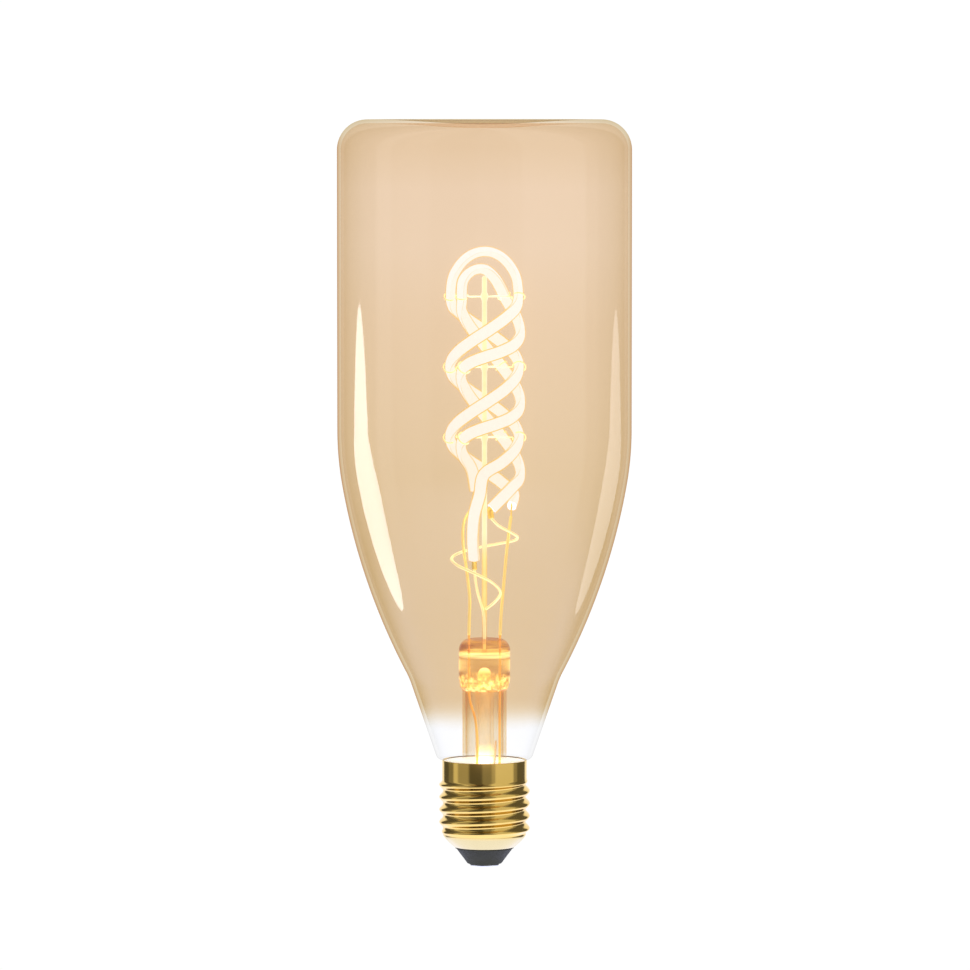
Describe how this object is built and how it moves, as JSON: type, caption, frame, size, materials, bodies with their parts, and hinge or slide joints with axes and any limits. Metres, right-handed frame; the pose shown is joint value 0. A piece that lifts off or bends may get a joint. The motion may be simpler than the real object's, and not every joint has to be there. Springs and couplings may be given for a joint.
{
  "type": "smart light bulb",
  "caption": "Bottle-shaped amber glass bulb on an E27 screw cap, lit by two LED filaments twisted round each other, with a wireless driver inside the cap.",
  "frame": {"origin": "centre of the end contact's outer face", "axes": "+Z along the bulb's axis from the end contact to the top of the glass; +X to the right when the driver board's component side faces the viewer, who looks along +Y"},
  "size_m": [0.085, 0.085, 0.216],
  "materials": {
    "amber_glass": "clear, gloss, amber tint that fades out at the neck",
    "clear_glass": "clear, gloss",
    "brass": "bright rolled brass",
    "insulator": "moulded, satin",
    "contact_metal": "stamped, satin",
    "solder": "bright solder",
    "nickel_wire": "drawn wire, satin",
    "copper_clad_wire": "drawn wire, copper clad",
    "support_wire": "fine drawn wire",
    "filament_strip": "thin metal strip",
    "filament_coat": "translucent phosphor silicone, lit",
    "cement": "cast cement, matte",
    "liner_plastic": "thin film, satin",
    "circuit_board": "solder mask, satin",
    "module_board": "solder mask, satin",
    "chip_body": "moulded, matte",
    "capacitor_sleeve": "shrink sleeve, gloss",
    "ferrite": "sintered, matte",
    "copper_winding": "enamelled wire",
    "resistor_body": "lacquered, satin",
    "passive_body": "ceramic, satin",
    "gold_pin": "plated pin, gloss",
    "shield_tin": "tinned sheet, satin",
    "wire_black": "wire insulation, satin",
    "wire_red": "wire insulation, satin",
    "wire_blue": "wire insulation, satin"
  },
  "bodies": {
    "root": {"glass_envelope": "amber_glass", "stem_tube": "clear_glass", "stem_head": "clear_glass", "exhaust_tube": "clear_glass", "centre_rod": "clear_glass", "support_arms_top": "support_wire", "support_arms_middle": "support_wire", "support_arms_bottom": "support_wire", "inner_lead_left": "nickel_wire", "inner_lead_right": "nickel_wire", "seal_wire_left": "copper_clad_wire", "seal_wire_right": "copper_clad_wire", "outer_lead_left": "copper_clad_wire", "outer_lead_right": "copper_clad_wire", "link_post": "nickel_wire", "link_wire": "nickel_wire", "filament_1_strip": "filament_strip", "filament_1_front_coat": "filament_coat", "filament_1_back_coat": "filament_coat", "filament_2_strip": "filament_strip", "filament_2_front_coat": "filament_coat", "filament_2_back_coat": "filament_coat", "filament_tabs": "filament_strip", "screw_shell": "brass", "cap_insulator": "insulator", "end_contact": "contact_metal", "contact_solder": "solder", "cap_cement": "cement", "insulating_liner": "liner_plastic", "driver_board": "circuit_board", "bridge_rectifier": "chip_body", "driver_chip": "chip_body", "bulk_capacitor": "capacitor_sleeve", "inductor_core": "ferrite", "inductor_winding": "copper_winding", "fusible_resistor": "resistor_body", "board_passives": "passive_body", "wireless_module": "module_board", "header_pins": "gold_pin", "shield_can": "shield_tin", "antenna_wire": "wire_black", "live_wire": "wire_red", "neutral_wire": "wire_blue", "neutral_solder": "solder"}
  },
  "joints": []
}
